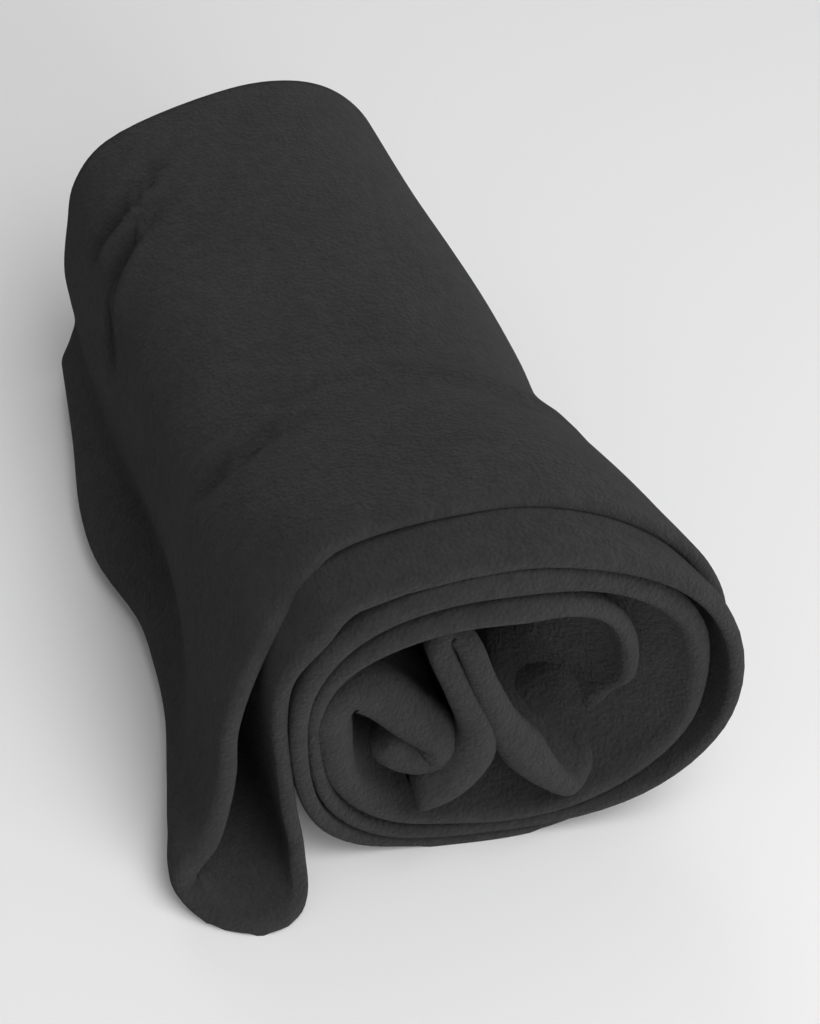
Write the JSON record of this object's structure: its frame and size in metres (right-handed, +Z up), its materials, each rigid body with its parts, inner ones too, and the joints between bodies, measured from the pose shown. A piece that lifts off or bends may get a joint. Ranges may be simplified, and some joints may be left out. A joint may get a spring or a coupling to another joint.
{
  "type": "rolled gym towel",
  "caption": "Plain dark grey gym towel, folded lengthwise and rolled up, its folded outer end hanging as an open loop beside the roll.",
  "frame": {"origin": "bottom centre of the bounding box, on the surface the roll rests on", "axes": "+Y along the roll's axis, from the open near end with the flared turns to the plain far end; +Z up; the hanging loop is on the -X side"},
  "size_m": [0.1512, 0.2286, 0.1221],
  "materials": {
    "terry": "charcoal grey short-pile cotton terry, matt"
  },
  "bodies": {
    "root": {"towel": "terry"}
  },
  "joints": []
}
